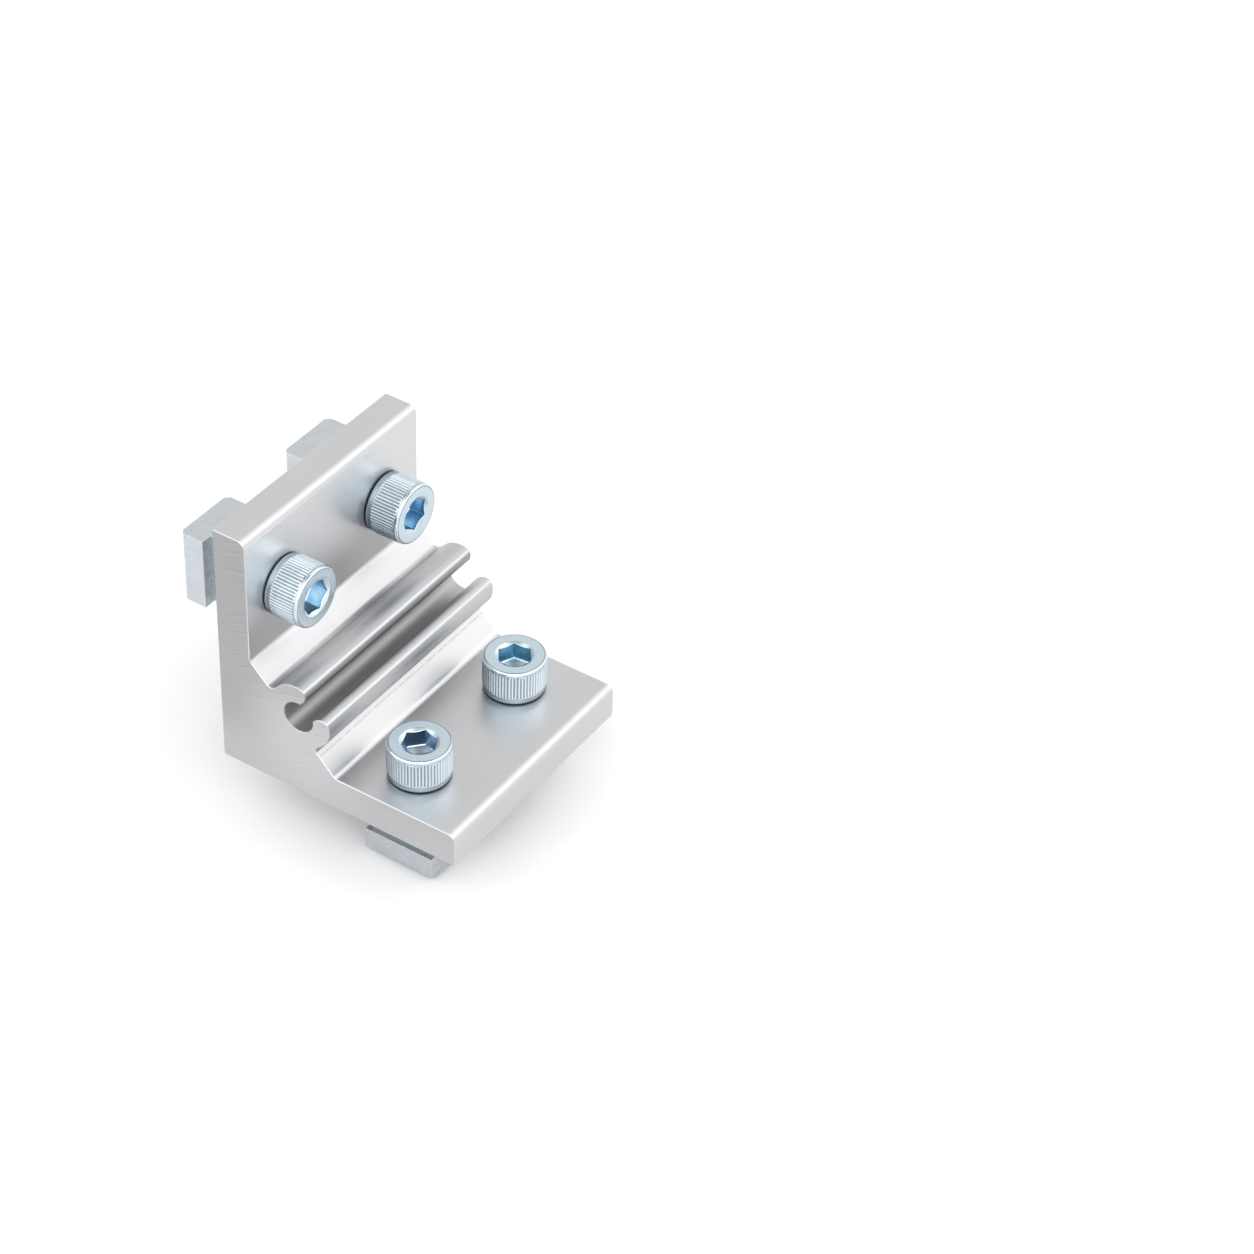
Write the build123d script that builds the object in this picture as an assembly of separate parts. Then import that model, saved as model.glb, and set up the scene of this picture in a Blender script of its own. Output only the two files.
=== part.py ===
from build123d import *
import math
import os

os.makedirs("parts", exist_ok=True)

# Corner bracket for slotted framing: a sawn length of aluminium extrusion, four
# socket head cap screws and four T nuts.  Millimetres, +Z up.
# Origin: on the heel edge, where the two mating faces meet, half way along the
# cut length.  The foot runs out along +X on z = 0, the upright leg runs up
# along +Z on x = 0, and the extrusion's length is along Y.

# ---- bracket: section ------------------------------------------------------
leg = 70.0            # heel to the end of each leg
leg_t = 9.5           # thickness of each leg
width = 68.0          # cut length of the extrusion
web_set = 34.5        # heel to where the 45 degree web leaves a leg's inner face
boss_half = 9.0       # half width of the boss on the web
boss_root_up_r = 1.8  # fillet where the boss rises from the web, on the upright's side ...
boss_root_foot_r = 1.0  # ... and on the foot's side
boss_arc_u = 35.0     # centre of the big round on each rib, out from the heel ...
boss_arc_v = 2.32     # ... and to each side of the bisector
boss_arc_r = boss_half - boss_arc_v
crest_v = 4.8         # where that round meets the lip, to each side
lip_r = 3.2           # rounded lead-in of the channel's mouth
mouth_half = 2.5      # half width of the channel's mouth
channel_u = 33.7      # centre of the screw channel, out from the heel
channel_r = 4.25      # screw channel: 8.5 mm, the core size of an M10 thread
throat_r = 0.3        # small round where the channel opens into its mouth
crest_r = 0.9         # round on the rib's crest
web_root_r = 2.0      # fillet between web and leg
tip_r = 2.2           # round on the inner edge of each leg's end
edge_r = 0.35         # break on the outer edge of each leg's end; the heel is sharp
saw_break = 0.18      # deburred edge of the two sawn ends

# ---- bracket: holes --------------------------------------------------------
hole_set = 49.5       # heel to the hole centres, on both legs
hole_pitch = 40.0     # between the two holes of a leg
hole_r = 5.5          # M10 clearance
hole_break = 0.3

# ---- M10 x 25 socket head cap screw ----------------------------------------
screw_r = 5.0
screw_len = 25.0
head_r = 8.13         # over the knurl
head_h = 10.0
head_top_r = 0.6
head_base_r = 0.6
hex_af = 8.0
hex_depth = 5.0
hex_sink_r = 5.0      # countersunk mouth of the hexagon socket
hex_sink_h = 0.65
tip_chamfer = 0.9
# turn of each hexagon: angle of one corner, seen from outside
hex_turn = {"foot_left": 48.0, "foot_right": 7.0, "upright_left": 50.0, "upright_right": 26.0}

# ---- T nut -------------------------------------------------------------------
nut_len = 20.0        # along the slot
nut_flange_w = 18.0
nut_flange_h = 7.0
nut_neck_w = 11.7
nut_neck_h = 5.0
nut_gap = 7.5         # mating face to the flange: the slot's lips go in here
nut_bore_r = 5.01
nut_sink = 0.8
nut_break = 0.6

R2 = math.sqrt(2.0)


def uv(u, v):
    """u runs out from the heel along the bisector, v to the foot's side of it."""
    return ((u + v) / R2, (u - v) / R2)


def on_arc(c, r, deg):
    return (c[0] + r * math.cos(math.radians(deg)), c[1] + r * math.sin(math.radians(deg)))


# ---- the section -------------------------------------------------------------
web_u = (web_set + leg_t) / R2                      # the web's face
web_v = (web_set - leg_t) / R2
crest_u = boss_arc_u + math.sqrt(boss_arc_r**2 - (crest_v - boss_arc_v) ** 2)
crest_deg = math.degrees(math.atan2(crest_v - boss_arc_v, crest_u - boss_arc_u))
lip_c = (crest_u - math.sqrt(lip_r**2 - (mouth_half + lip_r - crest_v) ** 2), mouth_half + lip_r)
lip_deg = math.degrees(math.atan2(crest_v - lip_c[1], crest_u - lip_c[0]))
throat_u = channel_u + math.sqrt(channel_r**2 - mouth_half**2)

# points of one side of the boss, from the web to the throat: (u, v)
side = {
    "web": (web_u, web_v),
    "root": (web_u, boss_half),
    "rise": (boss_arc_u, boss_half),
    "rise_mid": on_arc((boss_arc_u, boss_arc_v), boss_arc_r, (90 + crest_deg) / 2),
    "crest": (crest_u, crest_v),
    "lip_mid": on_arc(lip_c, lip_r, (lip_deg - 90) / 2),
    "lip": (lip_c[0], mouth_half),
    "throat": (throat_u, mouth_half),
}
foot_side = {k: uv(u, v) for k, (u, v) in side.items()}
up_side = {k: uv(u, -v) for k, (u, v) in side.items()}

with BuildSketch(Plane.XZ) as section:
    with BuildLine():
        Polyline((leg_t, leg), (0, leg), (0, 0), (leg, 0), (leg, leg_t), foot_side["web"], foot_side["root"], foot_side["rise"])
        ThreePointArc(foot_side["rise"], foot_side["rise_mid"], foot_side["crest"])
        ThreePointArc(foot_side["crest"], foot_side["lip_mid"], foot_side["lip"])
        Line(foot_side["lip"], foot_side["throat"])
        ThreePointArc(foot_side["throat"], uv(channel_u - channel_r, 0), up_side["throat"])
        Line(up_side["throat"], up_side["lip"])
        ThreePointArc(up_side["lip"], up_side["lip_mid"], up_side["crest"])
        ThreePointArc(up_side["crest"], up_side["rise_mid"], up_side["rise"])
        Polyline(up_side["rise"], up_side["root"], up_side["web"], (leg_t, leg))
    make_face()

    def near(points):
        # the sketch's own y runs up along the part's Z
        found = []
        for x, z in points:
            corner = min(section.vertices(), key=lambda p: (p.X - x) ** 2 + (p.Y - z) ** 2)
            assert math.hypot(corner.X - x, corner.Y - z) < 0.01, (x, z)
            found.append(corner)
        return found

    fillet(near([up_side["root"]]), boss_root_up_r)
    fillet(near([foot_side["root"]]), boss_root_foot_r)
    fillet(near([foot_side["web"], up_side["web"]]), web_root_r)
    fillet(near([foot_side["crest"], up_side["crest"]]), crest_r)
    fillet(near([foot_side["throat"], up_side["throat"]]), throat_r)
    fillet(near([(leg_t, leg), (leg, leg_t)]), tip_r)
    fillet(near([(0, leg), (leg, 0)]), edge_r)

body = extrude(section.sketch, amount=width / 2, both=True).solids()[0]
ends = body.faces().sort_by(Axis.Y)
end_edges = ends[0].edges() + ends[-1].edges()
body = chamfer(end_edges, saw_break).solids()[0]

for s in (-1, 1):
    y = s * hole_pitch / 2
    body -= Pos(hole_set, y, leg_t / 2) * Cylinder(hole_r, leg_t + 4)
    body -= Pos(leg_t / 2, y, hole_set) * Rot(0, 90, 0) * Cylinder(hole_r, leg_t + 4)
    # deburred edge of each hole on the mating side
    body -= Pos(hole_set, y, 0) * Cone(hole_r + hole_break, hole_r, hole_break, align=(Align.CENTER, Align.CENTER, Align.MIN))
    body -= Pos(0, y, hole_set) * Rot(0, 90, 0) * Cone(hole_r + hole_break, hole_r, hole_break, align=(Align.CENTER, Align.CENTER, Align.MIN))
bracket = body.solids()[0]


# ---- screw: head up, underside of the head on z = 0 ---------------------------
def cap_screw(turn):
    low = (Align.CENTER, Align.CENTER, Align.MIN)
    high = (Align.CENTER, Align.CENTER, Align.MAX)
    head = Cylinder(head_r, head_h, align=low)
    head = fillet(head.edges().sort_by(Axis.Z)[-1], head_top_r)
    head = fillet(head.edges().sort_by(Axis.Z)[0], head_base_r)
    shank = Cylinder(screw_r, screw_len, align=high)
    shank = chamfer(shank.edges().sort_by(Axis.Z)[0], tip_chamfer)
    s = head + shank
    hexagon = RegularPolygon(radius=hex_af / 2, side_count=6, major_radius=False, rotation=turn)
    s -= Pos(0, 0, head_h - hex_depth) * extrude(hexagon, amount=hex_depth + 1)
    # drill point under the socket, and the countersunk mouth
    s -= Pos(0, 0, head_h - hex_depth) * Cone(hex_af / 2 - 0.1, 0.2, 1.9, align=low).rotate(Axis.X, 180)
    s -= Pos(0, 0, head_h) * Cone(hex_sink_r - hex_sink_h * 1.6, hex_sink_r, hex_sink_h, align=high)
    return s.solids()[0]


# ---- T nut: slot along X, flange below, top of the flange on z = 0 --------------
def t_nut():
    low = (Align.CENTER, Align.CENTER, Align.MIN)
    high = (Align.CENTER, Align.CENTER, Align.MAX)
    flange = Box(nut_len, nut_flange_w, nut_flange_h, align=high)
    flange = chamfer(flange.edges().filter_by(Axis.X).group_by(Axis.Z)[0], nut_break * 2)
    neck = Box(nut_len, nut_neck_w, nut_neck_h, align=low)
    neck = chamfer(neck.edges().filter_by(Axis.X).group_by(Axis.Z)[-1], nut_break)
    n = flange + neck
    n -= Cylinder(nut_bore_r, 40)
    n -= Pos(0, 0, nut_neck_h) * Cone(nut_bore_r, nut_bore_r + nut_sink, nut_sink, align=high)
    n -= Pos(0, 0, -nut_flange_h) * Cone(nut_bore_r + nut_sink, nut_bore_r, nut_sink, align=low)
    return n.solids()[0]


# ---- placing ------------------------------------------------------------------
def on_foot(shape, y, z):
    return Pos(hole_set, y, z) * shape


def on_upright(shape, y, x):
    # +Z of the piece turns to +X, and its X to +Z
    p = Plane(origin=(x, y, hole_set), x_dir=(0, 1, 0), z_dir=(1, 0, 0))
    return p.location * shape


nodes = {"bracket": bracket}
for side_name, s in (("left", -1), ("right", 1)):
    y = s * hole_pitch / 2
    nodes[f"foot_screw_{side_name}"] = on_foot(cap_screw(hex_turn[f"foot_{side_name}"]), y, leg_t)
    nodes[f"upright_screw_{side_name}"] = on_upright(cap_screw(hex_turn[f"upright_{side_name}"]), y, leg_t)
    nodes[f"foot_t_nut_{side_name}"] = on_foot(t_nut(), y, -nut_gap)
    # on the upright leg the slot runs along Z
    nodes[f"upright_t_nut_{side_name}"] = on_upright(t_nut().rotate(Axis.Z, 90), y, -nut_gap)

for name, shape in nodes.items():
    export_step(shape, f"parts/{name}.step")
    print(name, round(shape.volume, 1))
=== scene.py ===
import math  # noqa: E402

import bpy  # noqa: E402
import numpy as np  # noqa: E402
from mathutils import Matrix, Vector  # noqa: E402


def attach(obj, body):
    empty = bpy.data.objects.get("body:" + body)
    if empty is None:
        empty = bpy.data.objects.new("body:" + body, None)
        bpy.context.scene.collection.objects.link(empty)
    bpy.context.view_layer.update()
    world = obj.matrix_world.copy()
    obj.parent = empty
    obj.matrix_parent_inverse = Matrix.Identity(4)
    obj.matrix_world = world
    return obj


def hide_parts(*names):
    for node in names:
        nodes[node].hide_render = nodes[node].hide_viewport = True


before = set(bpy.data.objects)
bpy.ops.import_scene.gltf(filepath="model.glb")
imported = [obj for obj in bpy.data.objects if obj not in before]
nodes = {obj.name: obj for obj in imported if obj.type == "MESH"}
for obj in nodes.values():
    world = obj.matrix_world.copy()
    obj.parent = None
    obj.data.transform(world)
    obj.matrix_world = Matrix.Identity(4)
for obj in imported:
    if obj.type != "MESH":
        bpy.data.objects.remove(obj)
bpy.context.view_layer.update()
scene = bpy.context.scene
MM = 0.001

# ---- the driving sizes, in millimetres, as in the part's source ----------------
LEG_T = 9.5
WIDTH = 68.0
WEB_U = (34.5 + 9.5) / math.sqrt(2)
HOLE_SET = 49.5
HOLE_PITCH = 40.0
HEX_TURN = {"foot_left": 48.0, "foot_right": 7.0, "upright_left": 50.0, "upright_right": 26.0}
NUT_GAP = 7.5
PITCH = 1.5


# ---- camera ----------------------------------------------------------------------
def make_camera():
    az, el, roll = math.radians(31.8417), math.radians(39.43), math.radians(2.494)
    back = Vector((math.sin(az) * math.cos(el), -math.cos(az) * math.cos(el), math.sin(el)))
    fwd = -back
    right = fwd.cross(Vector((0, 0, 1))).normalized()
    up = right.cross(fwd)
    x = math.cos(roll) * right + math.sin(roll) * up
    y = -math.sin(roll) * right + math.cos(roll) * up
    data = bpy.data.cameras.new("camera")
    data.sensor_fit = "HORIZONTAL"
    data.sensor_width = 36.0
    data.lens = 3378.647 / 1254 * 36.0
    data.clip_start, data.clip_end = 0.01, 20.0
    cam = bpy.data.objects.new("camera", data)
    scene.collection.objects.link(cam)
    m = Matrix((x, y, back)).transposed().to_4x4()
    m.translation = Vector((0.4114594, -0.5107591, 0.5575222))
    cam.matrix_world = m
    scene.camera = cam


make_camera()
scene.view_settings.view_transform = "Standard"
scene.view_settings.look = "None"
scene.view_settings.exposure = 0.0
scene.view_settings.gamma = 1.0


# ---- node helpers -------------------------------------------------------------------
class Graph:
    """Short calls for building a node tree."""

    def __init__(self, tree):
        self.t = tree
        tree.nodes.clear()

    def node(self, kind, **props):
        n = self.t.nodes.new(kind)
        for k, v in props.items():
            setattr(n, k, v)
        return n

    def put(self, socket, value):
        if isinstance(value, bpy.types.NodeSocket):
            self.t.links.new(value, socket)
        else:
            socket.default_value = value

    def math(self, op, a, b=None, c=None, clamp=False):
        n = self.node("ShaderNodeMath", operation=op, use_clamp=clamp)
        for i, v in enumerate((a, b, c)):
            if v is not None:
                self.put(n.inputs[i], v)
        return n.outputs[0]

    def vmath(self, op, a, b=None, scale=None):
        n = self.node("ShaderNodeVectorMath", operation=op)
        self.put(n.inputs[0], a)
        if b is not None:
            self.put(n.inputs[1], b)
        if scale is not None:
            self.put(n.inputs["Scale"], scale)
        return n.outputs["Value"] if op in ("DOT_PRODUCT", "LENGTH", "DISTANCE") else n.outputs["Vector"]

    def noise(self, vector, scale=1.0, detail=2.0, rough=0.5, distortion=0.0):
        n = self.node("ShaderNodeTexNoise")
        self.put(n.inputs["Vector"], vector)
        n.inputs["Scale"].default_value = scale
        n.inputs["Detail"].default_value = detail
        n.inputs["Roughness"].default_value = rough
        n.inputs["Distortion"].default_value = distortion
        return n.outputs["Fac"]

    def ramp(self, value, lo, hi, out_lo=0.0, out_hi=1.0, smooth=False):
        n = self.node("ShaderNodeMapRange", clamp=True)
        if smooth:
            n.interpolation_type = "SMOOTHSTEP"
        self.put(n.inputs["Value"], value)
        for k, v in (("From Min", lo), ("From Max", hi), ("To Min", out_lo), ("To Max", out_hi)):
            self.put(n.inputs[k], v)
        return n.outputs["Result"]

    def mix(self, fac, a, b):
        n = self.node("ShaderNodeMix", data_type="FLOAT")
        self.put(n.inputs[0], fac)
        self.put(n.inputs[2], a)
        self.put(n.inputs[3], b)
        return n.outputs[0]

    def mix_color(self, fac, a, b):
        n = self.node("ShaderNodeMix", data_type="RGBA")
        self.put(n.inputs[0], fac)
        self.put(n.inputs[6], a)
        self.put(n.inputs[7], b)
        return n.outputs[2]

    def combine(self, x, y, z):
        n = self.node("ShaderNodeCombineXYZ")
        for i, v in enumerate((x, y, z)):
            self.put(n.inputs[i], v)
        return n.outputs[0]

    def separate(self, v):
        n = self.node("ShaderNodeSeparateXYZ")
        self.put(n.inputs[0], v)
        return n.outputs[0], n.outputs[1], n.outputs[2]

    def spot(self, p, at, inner, outer):
        """1 within inner of a point, fading to 0 at outer."""
        n = self.node("ShaderNodeVectorMath", operation="DISTANCE")
        self.put(n.inputs[0], p)
        n.inputs[1].default_value = at
        return self.ramp(n.outputs["Value"], inner, outer, 1.0, 0.0, smooth=True)

    def strokes(self, at, along, spacing, width, shift, seed):
        """Short evenly spaced strokes; each row comes and goes on its own."""
        rows = self.math("ADD", self.math("DIVIDE", at, spacing), self.math("MULTIPLY", self.noise(self.combine(self.math("MULTIPLY", along, 0.02), self.math("MULTIPLY", at, 0.10), seed), detail=1.0), 1.6))
        rows = self.math("ADD", rows, shift)
        thin = self.ramp(self.math("PINGPONG", rows, 0.5), width * 0.2, width, 1.0, 0.0, smooth=True)
        row = self.math("FLOOR", self.math("ADD", rows, 0.5 - shift))
        gone = self.noise(self.combine(self.math("MULTIPLY", along, 0.16), self.math("MULTIPLY", row, 2.7), seed + 5.1), detail=1.0)
        return self.math("MULTIPLY", thin, self.ramp(gone, 0.42, 0.60, smooth=True))

    def hairlines(self, at, along, spacing, width, seed, seen=(0.40, 0.55)):
        """Thin lines where a slow noise crosses its middle, each fading in and out."""
        base = self.noise(self.combine(self.math("MULTIPLY", along, 0.012), self.math("MULTIPLY", at, 1.0 / spacing), seed), detail=1.0)
        off = self.math("ABSOLUTE", self.math("SUBTRACT", base, 0.5))
        thin = self.ramp(off, width * 0.15, width, 1.0, 0.0, smooth=True)
        gone = self.noise(self.combine(self.math("MULTIPLY", along, 0.10), self.math("MULTIPLY", at, 0.35), seed + 7.3), detail=1.0)
        return self.math("MULTIPLY", thin, self.ramp(gone, seen[0], seen[1]))


def material(name):
    m = bpy.data.materials.new(name)
    m.use_nodes = True
    g = Graph(m.node_tree)
    out = g.node("ShaderNodeOutputMaterial")
    bsdf = g.node("ShaderNodeBsdfPrincipled")
    m.node_tree.links.new(bsdf.outputs[0], out.inputs[0])
    return m, g, bsdf


def millimetres(g):
    tc = g.node("ShaderNodeTexCoord")
    return g.vmath("SCALE", tc.outputs["Object"], scale=1000.0)


# ---- satin aluminium: die lines along the length, saw marks on the cut ends ---------
def make_aluminium():
    m, g, b = material("satin_extrusion")
    p = millimetres(g)
    x, y, z = g.separate(p)
    normal = g.node("ShaderNodeNewGeometry").outputs["Normal"]
    nx, ny, nz = g.separate(normal)
    cut = g.ramp(g.math("ABSOLUTE", ny), 0.80, 0.95)

    # die lines: noise drawn out along the length
    die = g.noise(g.vmath("MULTIPLY", p, (1.7, 0.010, 1.7)), detail=3.0, rough=0.7)
    fine = g.noise(g.vmath("MULTIPLY", p, (7.0, 0.035, 7.0)), detail=2.0, rough=0.6)
    # a few broken, deeper die lines
    band = g.noise(g.vmath("MULTIPLY", p, (3.1, 0.02, 3.1)), detail=0.0)
    score = g.ramp(band, 0.72, 0.76)

    # saw marks: shallow arcs that rise toward +X
    lean = math.radians(21.0)
    across = g.math("SUBTRACT", g.math("MULTIPLY", z, math.cos(lean)), g.math("MULTIPLY", x, math.sin(lean)))
    along = g.math("ADD", g.math("MULTIPLY", x, math.cos(lean)), g.math("MULTIPLY", z, math.sin(lean)))
    bow = g.math("MULTIPLY", g.math("MULTIPLY", along, along), 0.0012)
    saw_at = g.math("ADD", across, bow)
    saw_a = g.noise(g.combine(g.math("MULTIPLY", along, 0.016), g.math("MULTIPLY", saw_at, 0.55), ny), detail=3.0, rough=0.75)
    saw_b = g.noise(g.combine(g.math("MULTIPLY", along, 0.03), g.math("MULTIPLY", saw_at, 2.6), ny), detail=2.0, rough=0.6)
    saw = g.math("ADD", g.math("MULTIPLY", saw_a, 0.65), g.math("MULTIPLY", saw_b, 0.35))
    # each saw mark is a shallow groove darkened with painted shade, with a painted highlight just beside it
    cuts = g.strokes(saw_at, along, 2.6, 0.10, 0.0, 3.1)
    saw_edge_highlight = g.strokes(saw_at, along, 2.6, 0.10, 0.15, 3.1)
    fine_cuts = g.hairlines(saw_at, along, 1.7, 0.09, 11.7)
    # the marks are deepest on the upright and nearly gone along the foot
    depth = g.math("ADD", 0.30, g.math("MULTIPLY", g.ramp(z, 14.0, 36.0, smooth=True), 0.70))
    depth = g.math("MULTIPLY", depth, g.ramp(x, 2.5, 5.5, 0.40, 1.0, smooth=True))
    cuts, saw_edge_highlight, fine_cuts = (g.math("MULTIPLY", c, depth) for c in (cuts, saw_edge_highlight, fine_cuts))

    # the channel is rougher in its bore and mouth, and darkened there with painted shade
    u = g.math("MULTIPLY", g.math("ADD", x, z), 1 / math.sqrt(2))
    # the broken line on the foot's side of the web, beside the boss
    v = g.math("MULTIPLY", g.math("SUBTRACT", x, z), 1 / math.sqrt(2))
    off_axis = g.vmath("LENGTH", g.combine(g.math("SUBTRACT", u, 33.7), v, 0.0))
    mouth = g.math("MULTIPLY", g.ramp(g.math("ABSOLUTE", v), 2.55, 2.95, 1.0, 0.0), g.ramp(u, 38.0, 39.4, 1.0, 0.0))
    channel_rough_and_shade = g.math("MAXIMUM", g.ramp(off_axis, 4.3, 4.7, 1.0, 0.0), mouth)
    channel_rough_and_shade = g.math("MULTIPLY", channel_rough_and_shade, g.math("SUBTRACT", 1.0, cut))
    channel_rough_and_shade = g.math("MULTIPLY", channel_rough_and_shade, g.ramp(v, 1.5, 3.2, 1.0, 0.25))
    # painted shade on the rounded mouth edge on the upright's side
    lip_shade = g.math("MULTIPLY", g.ramp(g.math("ABSOLUTE", v), 4.0, 4.6, 1.0, 0.0), g.ramp(u, 37.0, 37.6))
    lip_shade = g.math("MULTIPLY", lip_shade, g.math("SUBTRACT", 1.0, cut))
    lip_shade = g.math("MULTIPLY", lip_shade, g.ramp(v, -1.0, 1.0, 1.0, 0.0))
    # painted shade on the flanks of both ribs
    rib_flank_shade = g.math("MULTIPLY", g.ramp(g.math("ABSOLUTE", v), 4.9, 5.5), g.math("MULTIPLY", g.ramp(g.math("ABSOLUTE", v), 9.1, 9.4, 1.0, 0.0), g.ramp(u, 31.5, 32.5)))
    rib_flank_shade = g.math("MULTIPLY", rib_flank_shade, g.math("SUBTRACT", 1.0, cut))
    # the finish is duller around the web and the ribs than on the legs
    corner = g.math("MULTIPLY", g.ramp(g.math("ABSOLUTE", v), 15.6, 17.0, 1.0, 0.0), g.ramp(u, 29.5, 30.5))
    # painted light: the legs are lightened next to the web, less on the foot's side
    root = g.math("MULTIPLY", g.ramp(g.math("MAXIMUM", x, z), 36.0, 48.0, 0.24, 0.0, smooth=True), g.ramp(g.math("ABSOLUTE", v), 17.2, 18.4))
    root = g.math("MULTIPLY", root, g.ramp(v, 0.0, 1.0, 1.0, 0.4))
    # painted light: the top of the upright's inner face is lightened, most toward the near end
    near = g.math("MULTIPLY", g.ramp(y, -26.0, -4.0, 0.18, 0.08, smooth=True), g.math("MULTIPLY", g.ramp(z, 38.0, 52.0, smooth=True), g.ramp(nx, 0.90, 0.97)))
    on_web = g.ramp(g.vmath("DOT_PRODUCT", normal, (0.70711, 0.0, 0.70711)), 0.985, 0.995)
    wander = g.noise(g.vmath("MULTIPLY", p, (0.0, 0.6, 0.0)), detail=2.0)
    drift = g.math("MULTIPLY", g.math("SUBTRACT", g.noise(g.vmath("MULTIPLY", p, (0.0, 0.05, 0.0)), detail=1.0), 0.5), 0.5)
    at_line = g.math("ABSOLUTE", g.math("SUBTRACT", g.math("ADD", v, drift), 11.08))
    line = g.math("MULTIPLY", g.ramp(at_line, 0.06, 0.20, 1.0, 0.0), on_web)
    line = g.math("MULTIPLY", line, g.ramp(wander, 0.38, 0.56, 0.25, 1.0))

    # a small pit near the top of the upright's inner face, and a nick in the near sawn end
    pit = g.math("MAXIMUM", g.spot(p, (9.5, 12.86, 67.3), 0.10, 0.30), g.math("MULTIPLY", g.spot(p, (4.54, -34.0, 23.5), 0.12, 0.38), 0.6))

    # faint cloudiness of the finish
    cloud = g.noise(g.vmath("MULTIPLY", p, (0.06, 0.03, 0.06)), detail=3.0)
    grain = g.noise(p, scale=5.0, detail=2.0)

    tone = g.math("ADD", g.math("MULTIPLY", g.math("SUBTRACT", cloud, 0.5), 0.14), g.math("MULTIPLY", g.math("SUBTRACT", die, 0.5), 0.10))
    tone = g.math("ADD", tone, g.math("MULTIPLY", g.math("SUBTRACT", grain, 0.5), 0.03))
    tone = g.math("SUBTRACT", tone, g.math("MULTIPLY", score, 0.05))
    cut_tone = g.math("MULTIPLY", g.math("SUBTRACT", saw, 0.5), 0.08)
    cut_tone = g.math("SUBTRACT", cut_tone, g.math("MULTIPLY", cuts, 0.25))
    cut_tone = g.math("ADD", cut_tone, g.math("MULTIPLY", saw_edge_highlight, 0.24))
    cut_tone = g.math("SUBTRACT", cut_tone, g.math("MULTIPLY", fine_cuts, 0.06))
    # painted shade: the sawn ends darken the higher they go, least beside the web, and painted light lightens them
    # beside the web
    beside = g.ramp(g.vmath("DISTANCE", p, g.combine(26.0, y, 16.0)), 4.0, 26.0, 1.0, 0.0, smooth=True)
    end_web_light = g.math("MULTIPLY", beside, 0.08)
    end_shade_rising = g.math("MULTIPLY", g.ramp(z, 3.0, 20.0, 0.17, 0.46, smooth=True), g.math("SUBTRACT", 1.0, g.math("MULTIPLY", beside, 0.75)))
    end_top_shade = g.ramp(z, 28.0, 60.0, 0.06, 0.15, smooth=True)
    cut_tone = g.math("ADD", cut_tone, g.math("SUBTRACT", end_web_light, end_top_shade))
    tone = g.mix(cut, tone, cut_tone)
    tone = g.math("SUBTRACT", tone, g.math("MULTIPLY", line, 0.45))
    tone = g.math("SUBTRACT", tone, g.math("MULTIPLY", pit, 0.60))
    tone = g.math("SUBTRACT", tone, g.math("MULTIPLY", channel_rough_and_shade, 0.44))
    tone = g.math("SUBTRACT", tone, g.math("MULTIPLY", lip_shade, 0.40))
    tone = g.math("ADD", tone, g.math("MULTIPLY", root, g.math("SUBTRACT", 1.0, cut)))
    tone = g.math("ADD", tone, near)
    tone = g.math("SUBTRACT", tone, g.math("MULTIPLY", rib_flank_shade, 0.12))
    fac = g.math("ADD", tone, 0.5, clamp=True)
    color = g.mix_color(fac, (0.38, 0.38, 0.388, 1), (0.78, 0.78, 0.788, 1))
    # painted shade: the sawn ends, the upright side's mouth edge and the channel are mixed toward a dark colour
    painted_dark = g.math("MAXIMUM", g.math("MULTIPLY", end_shade_rising, cut), g.math("MULTIPLY", lip_shade, 0.42))
    painted_dark = g.math("MAXIMUM", painted_dark, g.math("MULTIPLY", channel_rough_and_shade, 0.18))
    color = g.mix_color(painted_dark, color, (0.20, 0.20, 0.205, 1))
    g.put(b.inputs["Base Color"], color)
    b.inputs["Metallic"].default_value = 1.0

    rough = g.math("ADD", 0.33, g.math("MULTIPLY", g.math("SUBTRACT", die, 0.5), 0.12))
    rough = g.math("ADD", rough, g.math("MULTIPLY", g.math("SUBTRACT", grain, 0.5), 0.06))
    rough = g.math("ADD", rough, g.math("MULTIPLY", channel_rough_and_shade, 0.12))
    rough = g.math("ADD", rough, g.math("MULTIPLY", corner, 0.09))
    rough_cut = g.math("ADD", 0.44, g.math("MULTIPLY", g.math("SUBTRACT", saw, 0.5), 0.12))
    g.put(b.inputs["Roughness"], g.mix(cut, rough, rough_cut))

    # heights in micrometres
    h = g.math("ADD", g.math("MULTIPLY", die, 3.0), g.math("MULTIPLY", fine, 1.4))
    h = g.math("ADD", h, g.math("MULTIPLY", grain, 0.8))
    h = g.math("SUBTRACT", h, g.math("MULTIPLY", score, 2.0))
    h = g.math("SUBTRACT", h, g.math("MULTIPLY", line, 18.0))
    h_cut = g.math("ADD", g.math("MULTIPLY", saw_a, 4.0), g.math("MULTIPLY", saw_b, 2.0))
    h_cut = g.math("SUBTRACT", h_cut, g.math("MULTIPLY", cuts, 9.0))
    h_cut = g.math("SUBTRACT", h_cut, g.math("MULTIPLY", fine_cuts, 4.0))
    h = g.mix(cut, h, h_cut)
    h = g.math("SUBTRACT", h, g.math("MULTIPLY", pit, 60.0))
    bump = g.node("ShaderNodeBump")
    bump.inputs["Strength"].default_value = 1.0
    bump.inputs["Distance"].default_value = 1e-6
    g.put(bump.inputs["Height"], h)
    g.put(b.inputs["Normal"], bump.outputs[0])
    return m


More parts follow.
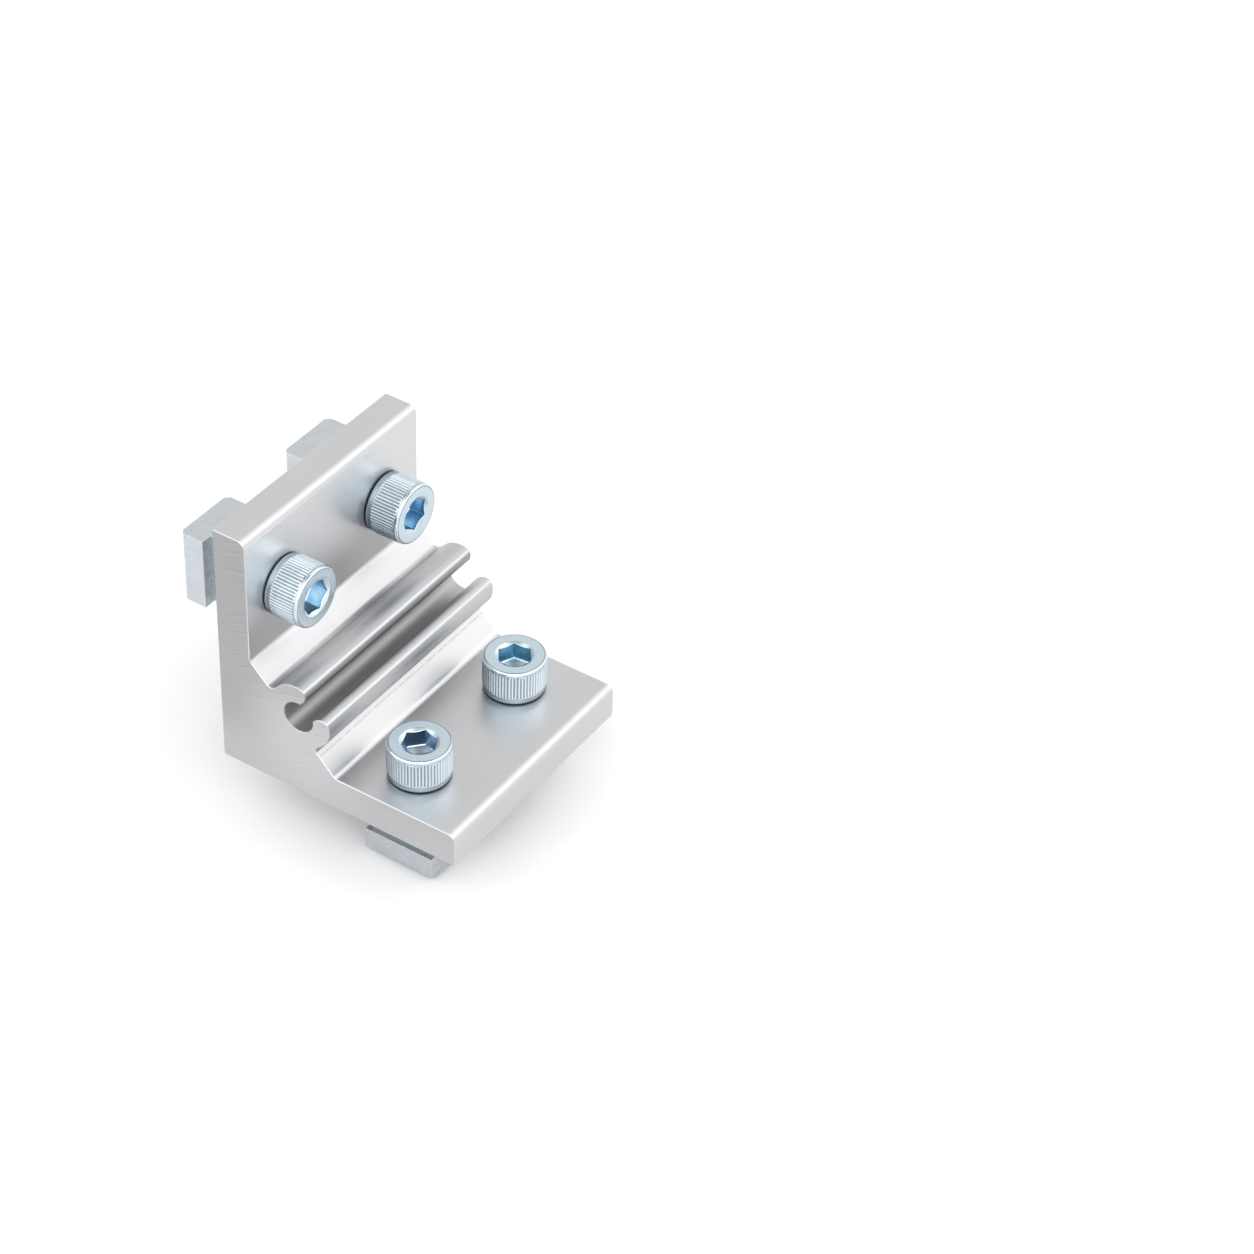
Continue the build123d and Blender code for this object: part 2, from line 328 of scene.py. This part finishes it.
# ---- zinc plate -----------------------------------------------------------------------
def make_zinc(name, base, deep, rough, mottle, marks=0.0, relief=1.0):
    """marks: how strongly the bar's rolling and milling shows through the plate."""
    m, g, b = material(name)
    p = millimetres(g)
    painted_shade = g.node("ShaderNodeAttribute", attribute_name="painted_shade").outputs["Fac"]
    blot = g.noise(p, scale=0.55, detail=4.0, rough=0.6)
    fine = g.noise(p, scale=6.0, detail=3.0, rough=0.6)
    crystal = g.noise(p, scale=3.0, detail=2.0, rough=0.5)
    pits = g.ramp(g.noise(p, scale=2.2, detail=1.0), 0.66, 0.74)
    fac = g.math("ADD", 0.5, g.math("MULTIPLY", g.math("SUBTRACT", blot, 0.5), mottle))
    fac = g.math("ADD", fac, g.math("MULTIPLY", g.math("SUBTRACT", crystal, 0.5), mottle * 0.5))
    h = g.math("ADD", g.math("MULTIPLY", blot, 10.0), g.math("MULTIPLY", fine, 1.4))
    h = g.math("SUBTRACT", h, g.math("MULTIPLY", pits, 3.0))
    if marks:
        rolled = g.noise(g.vmath("MULTIPLY", p, (0.25, 3.5, 0.25)), detail=3.0, rough=0.7)
        fac = g.math("ADD", fac, g.math("MULTIPLY", g.math("SUBTRACT", rolled, 0.5), marks))
        h = g.math("ADD", h, g.math("MULTIPLY", rolled, 14.0 * marks))
    fac = g.math("SUBTRACT", fac, g.math("MULTIPLY", pits, 0.10), clamp=True)
    color = g.mix_color(fac, (*deep, 1), (*base, 1))
    # painted shade: where the painted_shade attribute is high the plate is mixed toward a near-black blue, in the knurl
    # grooves, socket walls, drill point, thread roots and under the head
    painted_shade_colour = tuple(c * k for c, k in zip(deep, (0.05, 0.09, 0.14)))
    g.put(b.inputs["Base Color"], g.mix_color(painted_shade, color, (*painted_shade_colour, 1)))
    b.inputs["Metallic"].default_value = 1.0
    r = g.math("ADD", rough, g.math("MULTIPLY", g.math("SUBTRACT", blot, 0.5), 0.10))
    r = g.math("ADD", r, g.math("MULTIPLY", g.math("SUBTRACT", fine, 0.5), 0.08))
    g.put(b.inputs["Roughness"], g.math("ADD", r, g.math("MULTIPLY", painted_shade, 0.25)))
    bump = g.node("ShaderNodeBump")
    bump.inputs["Strength"].default_value = 1.0
    bump.inputs["Distance"].default_value = 1e-6
    g.put(bump.inputs["Height"], g.math("MULTIPLY", h, relief))
    g.put(b.inputs["Normal"], bump.outputs[0])
    return m


aluminium = make_aluminium()
zinc = make_zinc("blue_zinc", (0.60, 0.69, 0.745), (0.49, 0.58, 0.635), 0.25, 0.5, relief=0.30)
# a lighter copy of the plate for one head's faces: painted light
zinc_painted_light = make_zinc("blue_zinc_painted_light", (0.73, 0.81, 0.855), (0.64, 0.73, 0.78), 0.25, 0.5, relief=0.30)
zinc_knurl = make_zinc("blue_zinc_knurl", (0.64, 0.71, 0.75), (0.54, 0.61, 0.65), 0.11, 0.5, relief=0.30)
# a lighter, glossier copy of the plate for the shoulders: its lighter colour is a painted highlight
zinc_shoulder_highlight = make_zinc("blue_zinc_shoulder_highlight", (0.66, 0.74, 0.79), (0.58, 0.66, 0.71), 0.10, 0.3, relief=0.20)
# the plate's blue shows most in the sockets, and differs a little from screw to screw
socket_zinc = {
    "foot_left": make_zinc("blue_zinc_socket_a", (0.60, 0.78, 0.96), (0.54, 0.72, 0.92), 0.24, 0.15, relief=0.08),
    "foot_right": make_zinc("blue_zinc_socket_b", (0.44, 0.82, 0.98), (0.38, 0.76, 0.93), 0.24, 0.15, relief=0.08),
    "upright_left": make_zinc("blue_zinc_socket_c", (0.66, 0.88, 1.00), (0.59, 0.82, 0.98), 0.24, 0.15, relief=0.08),
    "upright_right": make_zinc("blue_zinc_socket_d", (0.45, 0.77, 1.00), (0.39, 0.71, 0.97), 0.24, 0.15, relief=0.08),
}
# painted shade on each socket wall, from its first corner to its second
WALL_SHADE = {
    "foot_left": ((0.22, 0.12), (0.91, 0.82), (0.76, 0.55), (0.3, 0.3), (0.3, 0.3), (0.4, 0.3)),
    "foot_right": ((0.3, 0.3), (0.38, 0.66), (0.30, 0.0), (0.1, 0.2), (0.1, 0.1), (0.1, 0.1)),
    "upright_left": ((0.2, 0.1), (0.0, 0.0), (0.0, 0.0), (0.86, 0.74), (0.0, 0.0), (0.45, 0.85)),
    "upright_right": ((0.2, 0.1), (0.0, 0.0), (0.0, 0.0), (0.80, 0.85), (0.0, 0.66), (0.25, 0.0)),
}
# the side of each head darkened with painted shade: direction, half width in degrees, how much
HEAD_SIDE_SHADE = {"foot_left": (-125.0, 62.0, 0.48), "foot_right": (-125.0, 62.0, 0.60), "upright_left": (205.0, 70.0, 0.28), "upright_right": (212.0, 80.0, 0.66)}
FACE_ZINC = {"foot_left": zinc, "foot_right": zinc, "upright_left": zinc_painted_light, "upright_right": zinc}
zinc_nut = make_zinc("zinc_nut", (0.63, 0.67, 0.69), (0.44, 0.47, 0.50), 0.28, 0.6, marks=0.3)


# ---- mesh helpers -----------------------------------------------------------------------
def build_piece(name, rings, materials, ring_material=None, painted_shade=None):
    """A closed skin through rings of points: from a pole at the start to a pole at
    the end, or, without poles, from the last ring back to the first.  Rings may have
    different counts where one is a multiple of the next."""
    verts, offs = [], []
    total = 0
    for r in rings:
        r = np.atleast_2d(np.asarray(r, float))
        offs.append((total, len(r)))
        verts.append(r)
        total += len(r)
    co = np.concatenate(verts)
    faces, mats = [], []
    last = len(rings) - 1 if len(verts[0]) == 1 else len(rings)
    for k in range(last):
        (oa, na), (ob, nb) = offs[k], offs[(k + 1) % len(rings)]
        mi = 0 if ring_material is None else ring_material[k]
        if na == 1:
            for i in range(nb):
                faces.append((oa, ob + i, ob + (i + 1) % nb))
                mats.append(mi)
        elif nb == 1:
            for i in range(na):
                faces.append((oa + i, ob, oa + (i + 1) % na))
                mats.append(mi)
        elif na == nb:
            for i in range(na):
                j = (i + 1) % na
                faces.append((oa + i, ob + i, ob + j, oa + j))
                mats.append(mi)
        else:
            s = na // nb
            for i in range(nb):
                j = (i + 1) % nb
                outer = [oa + (i * s + q) % na for q in range(s, -1, -1)]
                faces.append((ob + i, ob + j, *outer))
                mats.append(mi)
    me = bpy.data.meshes.new(name)
    me.from_pydata(co.tolist(), [], faces)
    me.polygons.foreach_set("material_index", mats)
    me.polygons.foreach_set("use_smooth", [True] * len(faces))
    if painted_shade is not None:
        values = np.concatenate([np.broadcast_to(np.asarray(c, float), (len(v),)) for c, v in zip(painted_shade, verts)])
        at = me.attributes.new("painted_shade", "FLOAT", "POINT")
        at.data.foreach_set("value", values)
    for m in materials:
        me.materials.append(m)
    me.update()
    ob = bpy.data.objects.new(name, me)
    scene.collection.objects.link(ob)
    return ob


def smoothstep(x, a, b):
    t = np.clip((x - a) / (b - a), 0, 1)
    return t * t * (3 - 2 * t)


# ---- M10 socket head cap screw: head underside on z = 0 ----------------------------------
RIBS, PER_RIB = 60, 12
N_HEAD = RIBS * PER_RIB
N_SHANK = 120


def screw_rings(turn_deg, seed, wall_shades, shaded_side, cone_shade):
    rng = np.random.default_rng(seed)
    i = np.arange(N_HEAD)
    th = math.radians(turn_deg) + 2 * math.pi * i / N_HEAD
    cs, sn = np.cos(th), np.sin(th)

    def ring(r, z):
        r = np.broadcast_to(np.asarray(r, float), th.shape)
        z = np.broadcast_to(np.asarray(z, float), th.shape)
        return np.stack([r * cs, r * sn, z], 1)

    at, wide, much = shaded_side
    # painted shade on one side of the head
    side_shade = much * smoothstep(np.abs(np.mod(np.degrees(th) - at + 180.0, 360.0) - 180.0), wide, 0.0)
    rings, mats, painted_shade = [], [], []

    def add(r, z, mat=0, dark=0.0):
        rings.append(ring(r, z))
        mats.append(mat)
        painted_shade.append(dark)

    # socket: drill point, ledge, six walls, countersunk mouth
    within = np.mod(i / N_HEAD * 360.0, 60.0) - 30.0
    hexa = 4.0 / np.cos(np.radians(within))
    hexa = np.minimum(hexa, 4.56)
    floor_z = 5.0
    # painted shade along each wall
    wall = (i // (N_HEAD // 6)) % 6
    first, second = (np.array([w[k] for w in wall_shades])[wall] for k in (0, 1))
    shade = first + (second - first) * smoothstep(np.mod(i / (N_HEAD // 6), 1.0), 0.0, 1.0)
    # the drill point is darkened with painted shade, most at its tip
    rings.append(np.array([[0.0, 0.0, floor_z - 1.9]]))
    mats.append(0)
    painted_shade.append(cone_shade)
    for r in (0.25, 1.0, 2.0, 3.0, 3.58):
        add(r, floor_z - 1.9 * (3.7 - r) / 3.7, 0, cone_shade * (1.0 - 0.16 * r))
    add(3.68, floor_z - 0.03)
    add(3.74, floor_z)
    add(hexa - 0.24, floor_z + 0.01)
    # the walls run out to the ledge in a small slope
    add(hexa - 0.20, floor_z + 0.03)
    add(hexa - 0.03, floor_z + 0.20, 0)
    add(hexa, floor_z + 0.24, 1, shade * 0.8)
    sink = 5.0
    slope = 0.60
    top = 10.0 - (sink - hexa) * slope
    for k in range(1, 5):
        add(hexa, floor_z + 0.24 + (top - 0.10 - floor_z - 0.24) * k / 4.0, 1, shade * (0.8 + 0.25 * k / 4.0))
    add(hexa + 0.012, top - 0.03, 0)
    add(hexa + 0.05, top + 0.045)
    for t in (0.25, 0.5, 0.8):
        r = hexa + (sink - hexa) * t
        add(r, 10.0 - (sink - r) * slope)
    add(sink - 0.05, 10.0 - 0.03)
    add(sink + 0.02, 10.0 - 0.004)
    add(sink + 0.10, 10.0)
    for r in (5.6, 6.2, 6.8, 7.30):
        add(r, 10.0)
    # painted shade along the ring's outer edge and the top of the shoulder
    add(7.39, 10.0, 0, 0.30)
    add(7.47, 10.0, 0, 0.55)
    add(7.54, 10.0, 0, 0.6)
    # the ring's edge, and the rounded shoulder that falls from it
    add(7.575, 9.996, 0, 0.6)
    for t, dark in ((15, 0.5), (19, 0.3), (24, 0.1), (30, 0), (37, 0), (45, 0), (54, 0), (64, 0), (76, 0), (90, 0)):
        a = math.radians(t)
        add(7.48 + 0.50 * math.sin(a), 10.0 - 0.62 * (1 - math.cos(a)), 3, dark)

    # knurl: grooves pressed in between rounded ribs, their ends uneven
    rib_t = np.mod(i / PER_RIB, 1.0)
    g_index = (i // PER_RIB) % RIBS
    groove = (0.5 - 0.5 * np.cos(2 * math.pi * rib_t)) ** 1.5
    hi = (8.98 + rng.uniform(-0.30, 0.20, RIBS))[g_index]
    lo = (1.85 + rng.uniform(-0.12, 0.14, RIBS))[g_index]
    deep = (0.34 * rng.uniform(0.75, 1.10, RIBS))[g_index]
    # painted shade in the knurl's grooves and along both of its ends
    knurl_end_shade = {9.22: 0.20, 9.12: 0.36, 9.02: 0.36, 8.92: 0.20, 2.0: 0.20, 1.88: 0.34, 1.76: 0.42, 1.64: 0.46, 1.50: 0.46}
    for z in (9.22, 9.12, 9.02, 8.92, 8.82, 8.72, 8.62, 8.52, 8.40, 8.25, 8.05, 7.7, 7.2, 6.6, 5.8, 5.0, 4.2, 3.5, 3.0, 2.6, 2.35, 2.15, 2.0, 1.88, 1.76, 1.64, 1.50):
        on = smoothstep(hi - z, 0.0, 0.42) * smoothstep(z - lo, -0.05, 0.34)
        # ribs stand a little proud of the plain bands
        base = 7.98 + 0.145 * smoothstep(np.array(9.1 - z), 0.0, 0.5) * smoothstep(np.array(z - 1.6), 0.0, 0.5)
        dark = np.maximum(on * smoothstep(groove, 0.3, 1.0) * 0.52, knurl_end_shade.get(z, 0.0))
        add(base - deep * on * groove, z, 2, 1.0 - (1.0 - dark) * (1.0 - side_shade))
    # painted shade on the plain band below the knurl
    for z, dark in ((1.35, 0.45), (1.15, 0.52)):
        add(7.99, z, 2, 1.0 - (1.0 - dark) * (1.0 - side_shade))
    # rounded base over a narrow undercut, painted near-black as the shadow where the head meets the bracket
    for r, z, dark in ((7.985, 0.92, 0.50), (7.965, 0.72, 0.42), (7.925, 0.54, 0.40), (7.86, 0.38, 0.70), (7.77, 0.28, 1.0), (7.66, 0.21, 1.0), (7.56, 0.16, 1.0), (7.50, 0.13, 1.0), (7.48, 0.0, 1.0)):
        add(r, z, 0, dark)
    add(6.2, 0.0)

    # underside to shank, fewer columns from here
    j = np.arange(N_SHANK)
    ts = math.radians(turn_deg) + 2 * math.pi * j / N_SHANK
    c2, s2 = np.cos(ts), np.sin(ts)

    def add2(r, z, dark=0.0):
        r = np.broadcast_to(np.asarray(r, float), ts.shape)
        rings.append(np.stack([r * c2, r * s2, np.full_like(ts, z)], 1))
        mats.append(0)
        painted_shade.append(dark)

    add2(5.45, 0.0)
    for r, z in ((5.38, -0.01), (5.22, -0.08), (5.08, -0.22), (5.0, -0.42)):
        add2(r, z)
    for r, z, dark in thread(ts, -25.0, -0.6):
        add2(r, z, dark)
    end = -25.0
    add2(3.6, end)
    add2(1.6, end)
    rings.append(np.array([[0.0, 0.0, end]]))
    painted_shade.append(0.0)
    return rings, mats, painted_shade


def thread_depth(phase):
    """0 on the crest to 1 in the root, for a phase of -0.5 to 0.5 of a pitch."""
    a = np.abs(phase)
    t = np.clip((a - 0.0625) / 0.354, 0, 1)
    return t * t * (3 - 2 * t) * 0.35 + t * 0.65


def thread(ts, low, high):
    """Rows of the right-hand thread from high down to low."""
    rows = []
    n = int(round((high - low) / PITCH * 13))
    for k in range(n + 1):
        z = high + (low - high) * k / n
        phase = np.mod(z / PITCH - ts / (2 * math.pi) + 0.5, 1.0) - 0.5
        fade = float(smoothstep(np.array(high - z), 0.0, 1.8))
        r = 4.985 - 0.90 * thread_depth(phase) * fade
        # chamfered tip
        r = np.minimum(r, 4.05 + max(0.0, z - low) / 0.9 * 0.95)
        # painted shade in the thread's roots
        rows.append((r, z, 0.55 * fade * smoothstep(thread_depth(phase), 0.5, 1.0)))
    return rows


def place(points, where, side):
    y = HOLE_PITCH / 2 * side
    if where == "foot":
        m = Matrix.Translation((HOLE_SET, y, LEG_T))
    else:
        m = Matrix(((0, 0, 1, LEG_T), (1, 0, 0, y), (0, 1, 0, HOLE_SET), (0, 0, 0, 1)))
    a = np.array(m)
    return (points @ a[:3, :3].T + a[:3, 3]) * MM


for k, (where, side_name, s) in enumerate((("foot", "left", -1), ("foot", "right", 1), ("upright", "left", -1), ("upright", "right", 1))):
    rings, mats, painted_shade = screw_rings(HEX_TURN[f"{where}_{side_name}"], 11 + k, WALL_SHADE[f"{where}_{side_name}"], HEAD_SIDE_SHADE[f"{where}_{side_name}"], 0.75 if where == "foot" else 0.05)
    rings = [place(np.atleast_2d(r), where, s) for r in rings]
    ob = build_piece(f"{where}_screw_{side_name}_full", rings, [FACE_ZINC[f"{where}_{side_name}"], socket_zinc[f"{where}_{side_name}"], zinc_knurl, zinc_shoulder_highlight], mats, painted_shade)
    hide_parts(f"{where}_screw_{side_name}")
    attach(ob, "root")


# ---- carried-over nodes --------------------------------------------------------------------
def dress(node, mat):
    ob = nodes[node]
    for slot in ob.material_slots:
        slot.link = "OBJECT"
        slot.material = mat


def round_edges(node, width):
    """The import splits a node's faces apart, so they are welded before the bevel."""
    ob = nodes[node]
    weld = ob.modifiers.new("weld", "WELD")
    weld.merge_threshold = 1e-6
    bevel = ob.modifiers.new("bevel", "BEVEL")
    bevel.width = width * MM
    bevel.segments = 3
    bevel.limit_method = "ANGLE"
    bevel.angle_limit = math.radians(32)
    bevel.harden_normals = True


dress("bracket", aluminium)
for where in ("foot", "upright"):
    for side_name in ("left", "right"):
        dress(f"{where}_t_nut_{side_name}", zinc_nut)
        round_edges(f"{where}_t_nut_{side_name}", 0.28)


# ---- floor ------------------------------------------------------------------------------------
def make_floor():
    m, g, b = material("pale_floor")
    p = g.vmath("SCALE", g.node("ShaderNodeTexCoord").outputs["Object"], scale=1.0)
    soft = g.noise(p, scale=3.0, detail=2.0)
    fine = g.noise(p, scale=900.0, detail=2.0)
    fac = g.math("ADD", g.math("MULTIPLY", soft, 0.7), g.math("MULTIPLY", fine, 0.3))
    g.put(b.inputs["Base Color"], g.mix_color(fac, (0.76, 0.76, 0.765, 1), (0.80, 0.80, 0.805, 1)))
    g.put(b.inputs["Roughness"], g.math("ADD", 0.75, g.math("MULTIPLY", fine, 0.1)))
    b.inputs["Specular IOR Level"].default_value = 0.2
    bump = g.node("ShaderNodeBump")
    bump.inputs["Strength"].default_value = 1.0
    bump.inputs["Distance"].default_value = 1e-6
    g.put(bump.inputs["Height"], g.math("MULTIPLY", fine, 6.0))
    g.put(b.inputs["Normal"], bump.outputs[0])
    z = (-15.5) * MM - 1e-5
    size = 6.0
    me = bpy.data.meshes.new("floor")
    me.from_pydata([(-size, -size, z), (size, -size, z), (size, size, z), (-size, size, z)], [], [(0, 1, 2, 3)])
    me.materials.append(m)
    ob = bpy.data.objects.new("floor", me)
    scene.collection.objects.link(ob)


make_floor()


# ---- studio light: a bright room with one large soft box ----------------------------------------
def make_world():
    w = bpy.data.worlds.new("studio")
    scene.world = w
    w.use_nodes = True
    g = Graph(w.node_tree)
    out = g.node("ShaderNodeOutputWorld")
    bg = g.node("ShaderNodeBackground")
    w.node_tree.links.new(bg.outputs[0], out.inputs[0])
    d = g.vmath("NORMALIZE", g.node("ShaderNodeTexCoord").outputs["Generated"])

    def lobe(direction, inner, outer):
        v = Vector(direction).normalized()
        c = g.vmath("DOT_PRODUCT", d, tuple(v))
        return g.ramp(c, math.cos(math.radians(outer)), math.cos(math.radians(inner)), smooth=True)

    # the side toward +Y is what the extrusion's faces show from the camera
    level = g.math("ADD", 1.30, g.math("MULTIPLY", lobe((0.35, 0.656, 0.67), 8, 40), 0.58))
    level = g.math("SUBTRACT", level, g.math("MULTIPLY", lobe((-0.407, 0.656, 0.635), 15, 65), 0.29))
    # soft boxes on the camera's side, with gaps overhead and low down: the screws show these
    level = g.math("ADD", level, g.math("MULTIPLY", lobe((0.80, -0.20, 0.57), 20, 50), 1.00))
    level = g.math("ADD", level, g.math("MULTIPLY", lobe((-0.10, -0.80, 0.59), 25, 65), 0.50))
    level = g.math("ADD", level, g.math("MULTIPLY", lobe((0.407, -0.656, 0.635), 8, 36), 0.55))
    level = g.math("SUBTRACT", level, g.math("MULTIPLY", lobe((0.03, -0.05, 0.997), 8, 28), 1.10))
    level = g.math("SUBTRACT", level, g.math("MULTIPLY", lobe((0.57, -0.815, 0.105), 6, 20), 1.0))
    level = g.math("SUBTRACT", level, g.math("MULTIPLY", lobe((0.98, -0.05, 0.12), 8, 40), 0.90))
    g.put(bg.inputs["Strength"], level)
    bg.inputs["Color"].default_value = (1.0, 1.0, 1.0, 1)


make_world()
